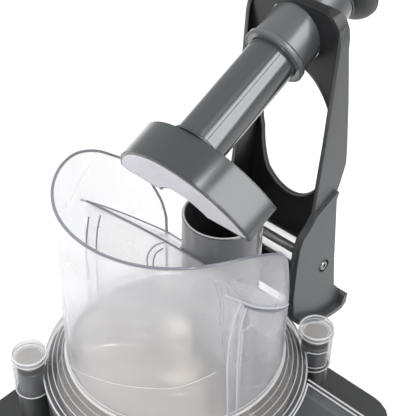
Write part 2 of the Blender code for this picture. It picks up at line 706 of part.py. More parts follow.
def hinge_pins():
    finish(rod("hinge_axle", 4, -41.2, 41.2, along="X", sides=16), STEEL, lever)
    for side, x in (("left", -1), ("right", 1)):
        low, high = sorted((x * 38.4, x * 41.1))
        bush = rod(f"hinge_bush_{side}", 9, low, high, along="X", sides=20)
        cut(bush, rod(f"bush_bore_{side}", 4.3, -50, 50, along="X", sides=16))
        finish(bush, BLACK, lever)
        low, high = sorted((x * 45.8, x * 48.2))
        screw = soften(rod(f"hinge_screw_{side}", 4.4, low, high, along="X", sides=16), 0.5, 1)
        shank_low, shank_high = sorted((x * 41.5, x * 47))
        join(screw, rod(f"shank_{side}", 3.4, shank_low, shank_high, along="X", sides=12))
        socket_low, socket_high = sorted((x * 46.6, x * 52))
        cut(screw, rod(f"hex_{side}", 2.4, socket_low, socket_high, along="X", sides=6))
        finish(screw, STEEL, lever)


def pusher():
    """A slim pusher that runs inside the stem, with a mushroom knob."""
    axis = (0, STEM_Y)
    shaft = [(0, 140), (13.5, 140), (14.5, 139), (14.5, -62.4), (13.5, -63.4), (0, -63.4)]
    finish(turned("pusher_rod", shaft, axis, sides=24), GLOSS_GREY, lever)
    crown = [(0.0, 155.0), (20.0, 153.6), (31.5, 149.0), (36.0, 141.5), (34.0, 135.0), (27.0, 131.0)]
    knob = [*flowing(crown, 2), (22, 128.6), (14.8, 128.6), (14.8, 140.4), (0, 140.4)]
    finish(turned("pusher_knob", knob, axis, sides=36), CASING, lever)


base_housing()
base_plate()
feet()
base_screws()
control_panel()
buttons()
control_board()
cable_gland()
motor()
drive()
discs()
bowl()
latch_posts()
hopper()
feed_tube()
lid()
lid_fittings()
chute_cover()
lever_arm()
press()
hinge_pins()
pusher()
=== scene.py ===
"""Looks of the lever-press machine: materials, edges, beads, fittings, camera and studio light.

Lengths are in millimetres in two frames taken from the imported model, and place() scales them to metres:
machine - the shaft's axis is x = y = 0 and z = 0 is the middle of the lid's rim
lever   - the hinge is the origin and z runs along the press stem
"""

import json
import math

import bmesh
import bpy
from mathutils import Matrix, Vector


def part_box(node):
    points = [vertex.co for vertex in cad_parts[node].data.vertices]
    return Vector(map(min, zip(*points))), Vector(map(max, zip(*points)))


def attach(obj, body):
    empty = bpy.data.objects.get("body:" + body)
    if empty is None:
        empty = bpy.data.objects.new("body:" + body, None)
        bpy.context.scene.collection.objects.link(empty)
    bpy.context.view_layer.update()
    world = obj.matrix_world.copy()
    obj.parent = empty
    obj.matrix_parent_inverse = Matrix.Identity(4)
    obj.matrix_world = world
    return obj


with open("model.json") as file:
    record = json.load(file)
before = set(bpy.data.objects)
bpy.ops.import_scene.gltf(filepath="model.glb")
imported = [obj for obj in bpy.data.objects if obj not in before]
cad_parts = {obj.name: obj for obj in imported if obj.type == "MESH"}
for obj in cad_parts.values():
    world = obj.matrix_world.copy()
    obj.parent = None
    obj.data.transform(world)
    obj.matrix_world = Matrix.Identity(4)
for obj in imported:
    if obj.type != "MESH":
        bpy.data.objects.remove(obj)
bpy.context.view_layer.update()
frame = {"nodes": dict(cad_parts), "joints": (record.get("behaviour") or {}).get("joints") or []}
MM = 0.001

# Clear parts, in the machine's frame
SEAL_DROP = 3.3
WALL_MIDDLE = 87.75
WALL_FACE = 89.2
WALL_TOP = 184
RIM_START = 46
REAR_Y = 57.9
REAR_EDGE_Y = 57.6
REAR_EDGE_Z = 67.4
BACK_Y = -97.5
BACK_RADIUS = 116.2
RIB_RADIUS = 113.1
PANEL_RADIUS = 115.6
FEED_Y = 54
COLLAR_RADIUS = 33.2
RIDGE_COUNT = 4
COVER_TOP = 3.3
COVER_END = 163.4
LID_REACH = 111.2
SOCKET_FACE = 14.6
HINGE_END = 37.6

# Lever, in its own frame
STEM_Y = -191.0
STEM_RADIUS = 20.0
WEB_TILT = -math.atan(0.312)
OVAL_Y = -101
OVAL_Z = 58.9
WEB_UNDER = [(-221, 94.9), (-84, 52.1), (-62, 37.3), (-56, 33.2), (-20, 20.8), (6, 11.8)]
WEB_THICKNESS = 3
CHANNEL_HALF = 42.3
PLATE_Y = -141
NOTCH_Y = -144

# Studio, with the camera in the machine's frame and the lights in metres
CAMERA_SPOT = (394.2, -408.9, 625.1)
CAMERA_PITCH = math.radians(39.05)
CAMERA_HEADING = math.radians(-41.52)
CAMERA_ROLL = math.radians(1.36)
CAMERA_LENS = 86.4
FLOOR_HALF = 6
WORLD_LIGHT = 0.55
LIGHTS_AIM = (0, 0, 0.4)

# Colours
CASING_GREY = (0.036, 0.037, 0.038)
ARM_GREY = (0.085, 0.092, 0.096)
BODY_GREY = (0.046, 0.05, 0.053)
GLOSS_GREY = (0.04, 0.045, 0.048)
DRAWN_GREY = (0.05, 0.056, 0.06)
SIGN_WHITE = (0.75, 0.75, 0.74)

# Frames --------------------------------------------------------------------

JOINTS = {joint["name"]: joint for joint in frame["joints"]}


def middle(node):
    low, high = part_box(node)
    return (Vector(low) + Vector(high)) / 2


def machine_frame():
    """The shaft's axis, at the height of the lid's rim."""
    shaft = middle("drive_shaft")
    seal_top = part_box("lid_seal")[1][2]
    return Matrix.Translation((shaft.x, shaft.y, seal_top + SEAL_DROP * MM))


def lever_frame():
    """The hinge, with z along the way that the pusher slides."""
    across = Vector((1, 0, 0))
    up = Vector(JOINTS["pusher_slide"]["axis"]).normalized()
    along = up.cross(across)
    turn = Matrix((across, along, up)).transposed().to_4x4()
    return Matrix.Translation(Vector(JOINTS["lever_swing"]["pos_m"])) @ turn


MACHINE = machine_frame()
LEVER = lever_frame()


def place(points, space):
    """Points of one frame, in metres in the world."""
    return [space @ (Vector(point) * MM) for point in points]


def in_machine(point):
    """A world point in the machine's frame."""
    return (MACHINE.inverted() @ Vector(point)) / MM


# Materials -----------------------------------------------------------------


class Nodes:
    """A short way to add and join the nodes of one material."""

    def __init__(self, name):
        self.material = bpy.data.materials.new(name)
        self.material.use_nodes = True
        self.tree = self.material.node_tree
        self.shader = self.tree.nodes["Principled BSDF"]
        self.coords = self.add("ShaderNodeTexCoord").outputs["Object"]

    def add(self, kind, inputs=None, **settings):
        node = self.tree.nodes.new(kind)
        for key, value in settings.items():
            setattr(node, key, value)
        for key, value in (inputs or {}).items():
            self.put(node.inputs[key], value)
        return node

    def put(self, socket, value):
        if isinstance(value, bpy.types.NodeSocket):
            self.tree.links.new(value, socket)
        else:
            socket.default_value = value

    def set(self, **values):
        for key, value in values.items():
            self.put(self.shader.inputs[key.replace("_", " ")], value)

    def noise(self, scale, detail=3.0, stretch=(1, 1, 1)):
        spread = self.add("ShaderNodeMapping", {"Vector": self.coords, "Scale": stretch})
        inputs = {"Vector": spread.outputs[0], "Scale": scale, "Detail": detail}
        return self.add("ShaderNodeTexNoise", inputs).outputs["Fac"]

    def ramp(self, factor, low, high, start=0.0, end=1.0):
        made = self.add("ShaderNodeMapRange", {"Value": factor, "To Min": low, "To Max": high})
        made.inputs["From Min"].default_value = start
        made.inputs["From Max"].default_value = end
        return made.outputs[0]

    def blend(self, factor, first, second):
        made = self.add("ShaderNodeMix", data_type="RGBA")
        self.put(made.inputs["Factor"], factor)
        self.put(made.inputs[6], first)
        self.put(made.inputs[7], second)
        return made.outputs[2]

    def bump(self, height, strength, distance):
        inputs = {"Height": height, "Strength": strength, "Distance": distance}
        return self.add("ShaderNodeBump", inputs).outputs["Normal"]


def tone(colour, gain):
    return (*[min(1.0, part * gain) for part in colour], 1.0)


def moulded(name, colour, roughness, grain=0.35, grain_scale=1400, coat=0, spread=0.12, coat_blur=0.05):
    """Opaque plastic or paint: soft colour drift, fine grain, paler worn edges, uneven gloss."""
    nodes = Nodes(name)
    drift = nodes.noise(22.0)
    speck = nodes.noise(grain_scale, 1.0)
    base = nodes.blend(drift, tone(colour, 1 - spread), tone(colour, 1 + spread))
    pointy = nodes.add("ShaderNodeNewGeometry").outputs["Pointiness"]
    worn = nodes.ramp(pointy, 0.0, 0.35, 0.515, 0.6)
    base = nodes.blend(worn, base, tone(colour, 2.2))
    gloss = nodes.ramp(nodes.noise(60.0), roughness * 0.85, roughness * 1.15)
    nodes.set(Base_Color=base, Roughness=gloss, Normal=nodes.bump(speck, grain, 0.0002))
    nodes.set(Coat_Weight=coat, Coat_Roughness=coat_blur)
    return nodes.material


def drawn(name, colour, roughness):
    """Glossy moulding with fine lines in its gloss along the press stem, and painted reflection stripes in
    its colour.
    """
    nodes = Nodes(name)
    inputs = {"Vector": nodes.coords, "Scale": (1, 1, 90)}
    turned = nodes.add("ShaderNodeMapping", inputs, vector_type="TEXTURE")
    turned.inputs["Rotation"].default_value = LEVER.to_euler()

    def streaks(scale, detail):
        inputs = {"Vector": turned.outputs[0], "Scale": scale, "Detail": detail}
        return nodes.add("ShaderNodeTexNoise", inputs).outputs["Fac"]

    lines, wide = streaks(260.0, 2.0), streaks(90.0, 1.0)
    # Paler and darker bands along the stem: painted reflection stripes.
    nodes.set(Base_Color=nodes.blend(wide, tone(colour, 0.7), tone(colour, 1.4)))
    nodes.set(Roughness=nodes.ramp(lines, roughness * 0.5, roughness * 1.6, 0.3, 0.7))
    nodes.set(Normal=nodes.bump(wide, 0.5, 0.0015), Specular_IOR_Level=0.9)
    return nodes.material


def metal(name, colour, roughness, stretch=(1, 1, 1), scale=300.0):
    """Turned or brushed metal, with fine lines where the noise is stretched."""
    nodes = Nodes(name)
    lines = nodes.noise(scale, 4.0, stretch)
    nodes.set(Base_Color=nodes.blend(lines, tone(colour, 0.82), tone(colour, 1.12)), Metallic=1.0)
    nodes.set(Roughness=nodes.ramp(lines, roughness * 0.7, roughness * 1.3))
    nodes.set(Normal=nodes.bump(lines, 0.15, 0.0002))
    return nodes.material


def clear(name, face, edge, face_alpha, edge_alpha, roughness, haze=0.05, scatter=0.0):
    """Clear plastic: thin square on, denser where it turns away, faintly hazy. Scatter frosts it."""
    nodes = Nodes(name)
    facing = nodes.add("ShaderNodeLayerWeight", {"Blend": 0.32}).outputs["Facing"]
    haze_map = nodes.ramp(nodes.noise(9.0, 1.0), -2 * haze, 2 * haze)
    alpha = nodes.ramp(facing, face_alpha, edge_alpha, 0.1, 0.95)
    total = nodes.add("ShaderNodeMath", {0: alpha, 1: haze_map}, operation="ADD", use_clamp=True)
    nodes.set(Base_Color=nodes.blend(facing, (*face, 1), (*edge, 1)), Alpha=total.outputs[0])
    nodes.set(Roughness=nodes.ramp(nodes.noise(12.0, 1.0), roughness * 0.8, roughness * 1.2), IOR=1.49)
    nodes.set(Transmission_Weight=scatter)
    return nodes.material


def painted_where(material, colour, mask_of, share):
    """Mixes another colour into a material where the mask is 1."""
    tree = material.node_tree
    shader = tree.nodes["Principled BSDF"]
    made = tree.nodes.new("ShaderNodeMix")
    made.data_type = "RGBA"
    made.inputs[7].default_value = (*colour, 1)
    tree.links.new(shader.inputs["Base Color"].links[0].from_socket, made.inputs[6])
    tree.links.new(maths(tree, "MULTIPLY", mask_of(tree), share), made.inputs["Factor"])
    tree.links.new(made.outputs[2], shader.inputs["Base Color"])
    return material


# Masks of a material, 1 inside and 0 outside --------------------------------


def fill(tree, sockets, values):
    for socket, value in zip(sockets, values):
        if isinstance(value, bpy.types.NodeSocket):
            tree.links.new(value, socket)
        else:
            socket.default_value = value


def maths(tree, operation, *values):
    made = tree.nodes.new("ShaderNodeMath")
    made.operation = operation
    fill(tree, made.inputs, values)
    return made.outputs[0]


def vector_maths(tree, operation, *values):
    made = tree.nodes.new("ShaderNodeVectorMath")
    made.operation = operation
    fill(tree, made.inputs, values)
    return made.outputs["Value" if operation in ("DOT_PRODUCT", "LENGTH") else "Vector"]


def from_point(tree, point):
    """The place on a face, measured from a point of the rest pose."""
    coords = tree.nodes.new("ShaderNodeTexCoord")
    return vector_maths(tree, "SUBTRACT", coords.outputs["Object"], tuple(point))


def face_normal(tree):
    return tree.nodes.new("ShaderNodeTexCoord").outputs["Normal"]


def dot(tree, vector, axis):
    return vector_maths(tree, "DOT_PRODUCT", vector, axis)


def within(tree, value, centre, half):
    """1 where a value is no more than half from the centre."""
    distance = maths(tree, "ABSOLUTE", maths(tree, "SUBTRACT", value, centre))
    return maths(tree, "LESS_THAN", distance, half)


def painted_shade_in_channel(tree):
    """Painted shade on the arm: its web and the inner sides of its flanges, not its outer faces and its
    back.
    """
    across = dot(tree, from_point(tree, MACHINE.translation), (1, 0, 0))
    back = dot(tree, face_normal(tree), (0, 0.99, 0.139))
    near = within(tree, across, 0.0, CHANNEL_HALF * MM)
    return maths(tree, "MULTIPLY", near, maths(tree, "LESS_THAN", back, 0.5))


def painted_shade_in_tube(tree):
    """Painted shade inside the feed tube: faces that look in towards its axis."""
    flat = vector_maths(tree, "MULTIPLY", from_point(tree, middle("feed_tube")), (1, 1, 0))
    return maths(tree, "LESS_THAN", dot(tree, flat, face_normal(tree)), 0.0)


def in_base_seam(tree):
    """The two parting lines round the foot of the base."""
    low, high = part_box("base_housing")
    foot = (low[2] - high[2]) / 2
    z = dot(tree, from_point(tree, middle("base_housing")), (0, 0, 1))
    lines = [within(tree, z, foot + lift * MM, 0.5 * MM) for lift in (3.0, 14.0)]
    return maths(tree, "MAXIMUM", *lines)


def in_bar(tree):
    """The upright bar of the start sign."""
    offset = from_point(tree, middle("start_button"))
    wide = within(tree, dot(tree, offset, (1, 0, 0)), 0.0, 0.45 * MM)
    return maths(tree, "MULTIPLY", wide, within(tree, dot(tree, offset, (0, 0, 1)), 0.0, 3.8 * MM))


def in_ring(tree):
    """The ring of the stop sign."""
    flat = vector_maths(tree, "MULTIPLY", from_point(tree, middle("stop_button")), (1, 0, 1))
    return within(tree, vector_maths(tree, "LENGTH", flat), 3.6 * MM, 0.45 * MM)


# The machine's materials ----------------------------------------------------

CASING = moulded("casing_texture", CASING_GREY, 0.5, 0.5, 1500.0)
BASE = moulded("base_texture", CASING_GREY, 0.5, 0.5, 1500.0)
POST = moulded("post_satin", (0.02, 0.021, 0.022), 0.33, 0.15, 900.0)
ARM = moulded("arm_coating", (0.072, 0.078, 0.082), 0.34, 0.25, 1700.0, spread=0.06)
ARM_BODY = moulded("arm_body", BODY_GREY, 0.34, 0.25, 1700.0, spread=0.06)
SLEEVE = moulded("sleeve_coating", ARM_GREY, 0.26, 0.15, 900.0, 0.6, 0.06, 0.22)
GLOSS = moulded("gloss_grey", GLOSS_GREY, 0.2, 0.04, 200.0, 0.35, 0.05, 0.16)
DRAWN_WITH_SHEEN = drawn("drawn_grey_painted_sheen", DRAWN_GREY, 0.16)
BLACK = moulded("black_moulding", (0.018, 0.018, 0.019), 0.45, 0.3)
RUBBER = moulded("foot_rubber", (0.02, 0.02, 0.021), 0.85, 0.6, 2200.0)
BOARD = moulded("circuit_board", (0.02, 0.16, 0.07), 0.45, 0.2, 600.0)
GREEN = moulded("start_cap", (0.04, 0.32, 0.11), 0.3, 0.1, 500.0, coat=0.3)
RED = moulded("stop_cap", (0.5, 0.035, 0.03), 0.3, 0.1, 500.0, coat=0.3)
STEEL = metal("bright_steel", (0.64, 0.63, 0.61), 0.22)
SCREW = metal("screw_steel", (0.3, 0.3, 0.31), 0.3)
DISC = metal("disc_steel", (0.6, 0.545, 0.48), 0.5, (1, 1, 6), 120.0)
HUB = metal("hub_steel", (0.56, 0.51, 0.45), 0.72)
MAGNET = metal("magnet_plate", (0.74, 0.7, 0.64), 0.4)
CAST = metal("cast_aluminium", (0.66, 0.66, 0.67), 0.5, scale=500.0)
COPPER = metal("winding_copper", (0.6, 0.26, 0.11), 0.4, (1, 1, 30))
HOPPER = clear("hopper_frosted", (0.98, 0.98, 0.99), (0.74, 0.74, 0.83), 0.24, 0.62, 0.28, scatter=0.62)
LID = clear("lid_clear", (0.25, 0.255, 0.265), (0.22, 0.225, 0.235), 0.17, 0.55, 0.06)
CLEAR = clear("fitting_clear", (0.7, 0.71, 0.74), (0.3, 0.31, 0.34), 0.08, 0.6, 0.04)
EDGE = clear("clear_edge", (0.24, 0.24, 0.29), (0.16, 0.16, 0.2), 0.7, 0.95, 0.12)
# Near-white clear beads: painted highlights along the edges and ridges of the clear parts.
PAINTED_HIGHLIGHT = clear("painted_highlight_edge", (0.84, 0.84, 0.85), (0.6, 0.6, 0.63), 0.65, 0.92, 0.08)
PALE = clear("pale_clear", (0.72, 0.72, 0.78), (0.5, 0.5, 0.58), 0.6, 0.9, 0.1)
PAD = clear("plate_pad", (0.86, 0.85, 0.9), (0.7, 0.7, 0.76), 0.6, 0.85, 0.15)
SMOKY = clear("smoky_clear", (0.05, 0.051, 0.054), (0.4, 0.405, 0.415), 0.97, 0.99, 0.12, haze=0.01)

painted_where(BASE, (0.004, 0.004, 0.004), in_base_seam, 0.9)
painted_where(GREEN, SIGN_WHITE, in_bar, 1.0)
painted_where(RED, SIGN_WHITE, in_ring, 1.0)
# Painted shade: the arm's web and the inner sides of its flanges are darkened nearly to black.
painted_where(ARM_BODY, (0.008, 0.008, 0.009), painted_shade_in_channel, 0.95)
# Painted shade: the inside of the feed tube is darkened.
painted_where(SMOKY, (0.012, 0.012, 0.014), painted_shade_in_tube, 0.85)

FINISHES = {
    CASING: ["bowl", "pusher_knob"],
    BASE: ["base_housing"],
    POST: ["latch_post_left", "latch_post_right"],
    BLACK: [
        *["base_plate", "control_panel", "cable_gland", "cooling_fan", "ejector_disc"],
        *["hinge_bush_left", "hinge_bush_right"],
    ],
    RUBBER: ["shaft_seal", "lid_seal", "foot_1", "foot_2", "foot_3", "foot_4"],
    SCREW: ["hinge_screw_left", "hinge_screw_right"],
    ARM_BODY: ["lever_arm"],
    STEEL: [
        *["hinge_axle", "drive_shaft", "lower_bearing", "upper_bearing"],
        *[f"base_screw_{i}" for i in range(1, 5)],
    ],
    DISC: ["grating_disc", "motor_rotor"],
    HUB: ["disc_hub"],
    MAGNET: ["magnet_left", "magnet_right"],
    CAST: ["motor_lower_bell", "motor_upper_bell"],
    COPPER: ["motor_stator"],
    BOARD: ["control_board"],
    GREEN: ["start_button"],
    RED: ["stop_button"],
    SLEEVE: ["guide_sleeve"],
    GLOSS: ["press_plate", "pusher_rod"],
    DRAWN_WITH_SHEEN: ["press_stem"],
    HOPPER: ["hopper"],
    LID: ["lid", "chute_cover"],
    CLEAR: ["magnet_cap_left", "magnet_cap_right"],
    SMOKY: ["feed_tube"],
}
EASED_EDGES = {"lever_arm": 0.9, "base_housing": 0.6, "press_plate": 0.5, "bowl": 0.6, "guide_sleeve": 0.5}
SMOOTH_ANGLE = math.radians(33)
HARD_ANGLE = math.radians(50)


def smoothing():
    """A node group that shades smoothly across every edge flatter than SMOOTH_ANGLE."""
    tree = bpy.data.node_groups.new("smooth_by_angle", "GeometryNodeTree")
    for way in ("INPUT", "OUTPUT"):
        tree.interface.new_socket("Geometry", in_out=way, socket_type="NodeSocketGeometry")
    start, end = tree.nodes.new("NodeGroupInput"), tree.nodes.new("NodeGroupOutput")
    faces, edges = [tree.nodes.new("GeometryNodeSetShadeSmooth") for _ in range(2)]
    edges.domain = "EDGE"
    angle = tree.nodes.new("GeometryNodeInputMeshEdgeAngle")
    flat = tree.nodes.new("FunctionNodeCompare")
    flat.operation = "LESS_THAN"
    flat.inputs["B"].default_value = SMOOTH_ANGLE
    tree.links.new(angle.outputs["Unsigned Angle"], flat.inputs["A"])
    tree.links.new(flat.outputs["Result"], edges.inputs["Shade Smooth"])
    tree.links.new(start.outputs[0], faces.inputs["Geometry"])
    tree.links.new(faces.outputs[0], edges.inputs["Geometry"])
    tree.links.new(edges.outputs[0], end.inputs[0])
    return tree


SMOOTHING = smoothing()


def smooth(obj):
    obj.modifiers.new("Smooth by angle", "NODES").node_group = SMOOTHING


def dress(name, material):
    """A carried-over node: its material, welded and smoothly shaded, with its hard edges eased."""
    obj = frame["nodes"][name]
    obj.data.materials.clear()
    obj.data.materials.append(material)
    weld = obj.modifiers.new("Weld", "WELD")
    weld.merge_threshold = 0.00001
    if name in EASED_EDGES:
        ease = obj.modifiers.new("Ease", "BEVEL")
        ease.width = EASED_EDGES[name] * MM
        ease.segments = 2
        ease.limit_method = "ANGLE"
        ease.angle_limit = HARD_ANGLE
    smooth(obj)
    if name in EASED_EDGES:
        flat = obj.modifiers.new("Keep flats flat", "WEIGHTED_NORMAL")
        flat.keep_sharp = True


for finish_material, names in FINISHES.items():
    for node_name in names:
        dress(node_name, finish_material)


# Added pieces --------------------------------------------------------------


def add_piece(obj, material, body):
    bpy.context.scene.collection.objects.link(obj)
    obj.data.materials.append(material)
    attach(obj, body)
    return obj


def mesh_object(name, shape):
    mesh = bpy.data.meshes.new(name)
    shape.to_mesh(mesh)
    shape.free()
    return bpy.data.objects.new(name, mesh)


def tube(name, points, radius, material, body, closed=True):
    """A bead or wire along points that are already in place."""
    curve = bpy.data.curves.new(name, "CURVE")
    curve.dimensions = "3D"
    curve.bevel_depth = radius * MM
    curve.bevel_resolution = 3
    curve.use_fill_caps = True
    spline = curve.splines.new("POLY")
    spline.points.add(len(points) - 1)
    for point, co in zip(spline.points, points):
        point.co = (*co, 1)
    spline.use_cyclic_u = closed
    return add_piece(bpy.data.objects.new(name, curve), material, body)


def clear_bead(name, points, radius, material, closed=False):
    """A bead on the clear parts, which ride on the lid."""
    tube(name, place(points, MACHINE), radius, material, "lid", closed)


def lever_bead(name, points, radius, material, closed=True):
    tube(name, place(points, LEVER), radius, material, "lever", closed)


def spun(name, profile, at, space, material, body, steps=40):
    """A closed shape turned from (radius, height) points round an upright axis."""
    shape = bmesh.new()
    rings = []
    for step in range(steps):
        angle = math.tau * step / steps
        spots = [(at[0] + r * math.cos(angle), at[1] + r * math.sin(angle), z) for r, z in profile]
        rings.append([shape.verts.new(point) for point in place(spots, space)])
    for here, there in zip(rings, rings[1:] + rings[:1]):
        for i in range(len(profile) - 1):
            shape.faces.new((here[i], there[i], there[i + 1], here[i + 1]))
    bmesh.ops.remove_doubles(shape, verts=shape.verts, dist=0.00005)
    bmesh.ops.recalc_face_normals(shape, faces=shape.faces)
    obj = mesh_object(name, shape)
    smooth(obj)
    return add_piece(obj, material, body)


def sheet(name, outline, height, thickness, space, material, body):
    """A flat outline at one height, given a thickness, with eased edges."""
    shape = bmesh.new()
    corners = place([(*spot, height) for spot in outline], space)
    shape.faces.new([shape.verts.new(corner) for corner in corners])
    obj = mesh_object(name, shape)
    solid = obj.modifiers.new("Thickness", "SOLIDIFY")
    solid.thickness = thickness * MM
    solid.offset = 0
    obj.modifiers.new("Ease", "BEVEL").width = 0.15 * MM
    return add_piece(obj, material, body)


def circle(centre, radius, normal="Z", steps=96, start=0.0, end=360.0):
    """Points on a circle round Z, X or Y, in the frame of its centre."""
    spots = []
    for i in range(steps):
        angle = math.radians(start + (end - start) * i / (steps if end - start == 360 else steps - 1))
        u, v = radius * math.cos(angle), radius * math.sin(angle)
        offset = {"Z": (u, v, 0), "X": (0, u, v), "Y": (u, 0, v)}[normal]
        spots.append(Vector(centre) + Vector(offset))
    return spots


def smooth_curve(points, steps=6):
    """Points on a smooth curve through the given ones."""
    ends = [points[0], *points, points[-1]]
    curve = []
    for a, b, c, d in zip(ends, ends[1:], ends[2:], ends[3:]):
        for step in range(steps):
            t = step / steps
            weights = (-t + 2 * t**2 - t**3, 2 - 5 * t**2 + 3 * t**3, t + 4 * t**2 - 3 * t**3, t**3 - t**2)
            curve.append(tuple(sum(w * p[k] for w, p in zip(weights, (a, b, c, d))) / 2 for k in (0, 1)))
    return [*curve, points[-1]]


# Hopper --------------------------------------------------------------------

# The wall's rim from the side, as (y, height)
RIM_HIGH = [(-46, 184), (-22, 181), (0, 172), (17, 160), (33, 146)]
RIM_LOW = [(44.5, 130), (50, 116), (55, 100), (57.6, 84)]
RIM_SWEEP = smooth_curve([*RIM_HIGH, *RIM_LOW])
EAR_HIGH = [(12, 166), (20, 158), (28, 147), (34, 132)]
EAR_LOW = [(40, 114), (47, 96), (54, 79), (58.9, 70)]
EAR_SWEEP = smooth_curve([*EAR_HIGH, *EAR_LOW])

# Lines on the wall's right and front, as (degrees from +X, height)
LEFT_SEAM = [(-15.6, 143), (-18.8, 128), (-20.9, 107), (-21.2, 78), (-20.4, 50), (-20, 26)]
RIGHT_SEAM = [(-12.3, 136), (-14.5, 124), (-15.7, 107), (-15.7, 73), (-15.2, 50), (-14.8, 26)]
SHELF_SEAM = [(-24, 155), (-13.4, 140), (-8.5, 133), (-0.3, 122.5), (12.7, 107), (20, 98), (28, 89)]
FAINT_LINE = [(-115, 30), (-92, 51), (-76, 60), (-60, 66), (-46, 69), (-27, 80)]

# Lines on the right half of the back wall, as (x, height)
RIB_LINES = (
    [(72, 122), (74.5, 106), (76, 80), (76.5, 26)],
    [(79, 120), (81, 100), (82, 78), (82, 26)],
)
PANEL_LINES = (
    [(27, 105), (35, 98), (41, 86), (41.6, 70), (41.6, 26)],
    [(28, 98), (35, 88), (37, 70), (37, 26)],
)


def wall_point(y, side):
    """The point of the hopper's wall at y, on its left (-1) or right (1)."""
    return side * math.sqrt(WALL_MIDDLE**2 - y * y), y


def on_wall(angle, height):
    """A point on the outside of the hopper's wall at an angle in degrees from +X."""
    return WALL_FACE * math.cos(math.radians(angle)), WALL_FACE * math.sin(math.radians(angle)), height


def back_y(x, radius):
    """Where an arc round the back wall's centre is at x."""
    return BACK_Y + math.sqrt(radius**2 - x * x)


def roof(y):
    """The height at y of the roof that slopes down behind the back wall."""
    return 138 - 0.9 * (y + 21)


def hopper_rim():
    """A rounded bead along the swept rim and down both rear ends."""
    left = [(*wall_point(y, -1), z) for y, z in RIM_SWEEP]
    before = [(*wall_point(y, 1), z) for y, z in RIM_SWEEP if y < EAR_SWEEP[0][0]]
    right = [*before, *[(*wall_point(min(y, REAR_Y), 1), z) for y, z in EAR_SWEEP]]
    turn = math.degrees(math.asin(RIM_START / WALL_MIDDLE))
    front = circle((0, 0, WALL_TOP), WALL_MIDDLE, steps=60, start=-180 + turn, end=-turn)
    ends = [[(*wall_point(REAR_Y, side), z) for z in (24, 40, 56, 66)] for side in (-1, 1)]
    points = [*ends[0], *left[::-1], *front[1:-1], *right, *ends[1][::-1]]
    clear_bead("hopper_rim_bead", points, 1.15, EDGE)


def rib_edges():
    """Rounded edges of the guide ribs, and a faint arched panel at the back."""
    for name, side in (("left", -1), ("right", 1)):
        for i, spots in enumerate(RIB_LINES):
            path = [(side * x, back_y(x, RIB_RADIUS), height) for x, height in smooth_curve(spots)]
            clear_bead(f"rib_edge_{name}_{i}", path, 0.6, EDGE)
        for i, spots in enumerate(PANEL_LINES):
            path = [(side * x, back_y(x, PANEL_RADIUS), height) for x, height in smooth_curve(spots)]
            clear_bead(f"panel_edge_{name}_{i}", path, 0.55, EDGE)


def wall_seams():
    """The seams and the shelf line on the right of the wall, and a faint line across its front."""
    seams = (("left", LEFT_SEAM, 0.8), ("right", RIGHT_SEAM, 0.8), ("shelf", SHELF_SEAM, 1.0))
    for name, line, size in seams:
        clear_bead(f"wall_seam_{name}", [on_wall(*spot) for spot in smooth_curve(line)], size, PALE)
    lower = [on_wall(angle, height - 3.0) for angle, height in smooth_curve(SHELF_SEAM[1:])]
    clear_bead("wall_seam_under", lower, 0.9, EDGE)
    # The faint line is a near-white bead: a painted highlight.
    clear_bead("wall_line_faint", [on_wall(*spot) for spot in smooth_curve(FAINT_LINE)], 0.25, PAINTED_HIGHLIGHT)


def roof_edges():
    """Beads along the edges of the roof behind the back wall, and where the feed tube comes through it."""
    for name, radius, lift in (("front", BACK_RADIUS, 1.4), ("inner", BACK_RADIUS + 3.6, 0.3)):
        top = []
        for x in range(-82, 83, 4):
            y = back_y(x, radius)
            top.append((x, y, roof(y) + lift))
        clear_bead(f"roof_edge_{name}", top, 0.9, EDGE)
    for name, sign in (("left", -1), ("right", 1)):
        rear = [(sign * x, REAR_EDGE_Y, REAR_EDGE_Z) for x in (65, COLLAR_RADIUS + 0.2)]
        clear_bead(f"roof_rear_{name}", rear, 0.9, EDGE)
        if name == "left":
            side = circle((0, 0, 0), 86.9, steps=15, start=-12.5, end=41)
            clear_bead("roof_side_left", [(-x, y, roof(y)) for x, y, _ in side], 0.7, EDGE)
    collar = circle((0, FEED_Y, 0), COLLAR_RADIUS, steps=40, start=-4, end=-176)
    clear_bead("tube_collar", [(x, y, roof(y) + 0.2) for x, y, _ in collar], 0.8, EDGE)


def hopper_foot():
    """The rolled foot of the hopper on the lid, and the thin weld line over it."""
    # Both beads are near-white: painted highlights.
    for i, (radius, height, size) in enumerate(((89.6, 22.6, 1.2), (89.1, 27.0, 0.35))):
        clear_bead(f"hopper_foot_{i}", circle((0, 0, height), radius), size, PAINTED_HIGHLIGHT, True)


def feed_tube_rim():
    # The tube's rim and collar are near-white: painted highlights.
    rim = place(circle((0, FEED_Y, 127.0), 31.0, steps=72), MACHINE)
    tube("feed_tube_rim", rim, 0.85, PAINTED_HIGHLIGHT, "lid")
    clear_bead("feed_tube_collar", circle((0, FEED_Y, 23.0), COLLAR_RADIUS, steps=72), 1.0, PAINTED_HIGHLIGHT, True)


# Lid -----------------------------------------------------------------------


def lid_ridges():
    """Raised rings on the sloping shoulder of the lid, and the rolled outer rim."""
    # The rings and the rim are near-white: painted highlights.
    for i in range(RIDGE_COUNT):
        radius = 105.6 - 4.2 * i
        height = 5.2 + 4.2 * i * 17 / 17.5
        clear_bead(f"lid_ridge_{i}", circle((0, 0, height), radius, steps=120), 0.5, PAINTED_HIGHLIGHT, True)
    clear_bead("lid_rim", circle((0, 0, 3.2), 109.2, steps=120), 0.8, PAINTED_HIGHLIGHT, True)


def socket_window(x, y, turn):
    """A rounded window bent round a socket's skirt, from (degrees, height) corners."""
    corners = [(-38, 7), (-30, 9.5), (30, 9.5), (38, 7), (38, -5), (30, -8), (-30, -8), (-38, -5)]
    path = []
    for (angle, height), (next_angle, next_height) in zip(corners, corners[1:] + corners[:1]):
        for step in range(8):
            share = step / 8
            way = math.radians(turn + angle + (next_angle - angle) * share)
            level = height + (next_height - height) * share
            path.append((x + SOCKET_FACE * math.cos(way), y + SOCKET_FACE * math.sin(way), level))
    return path


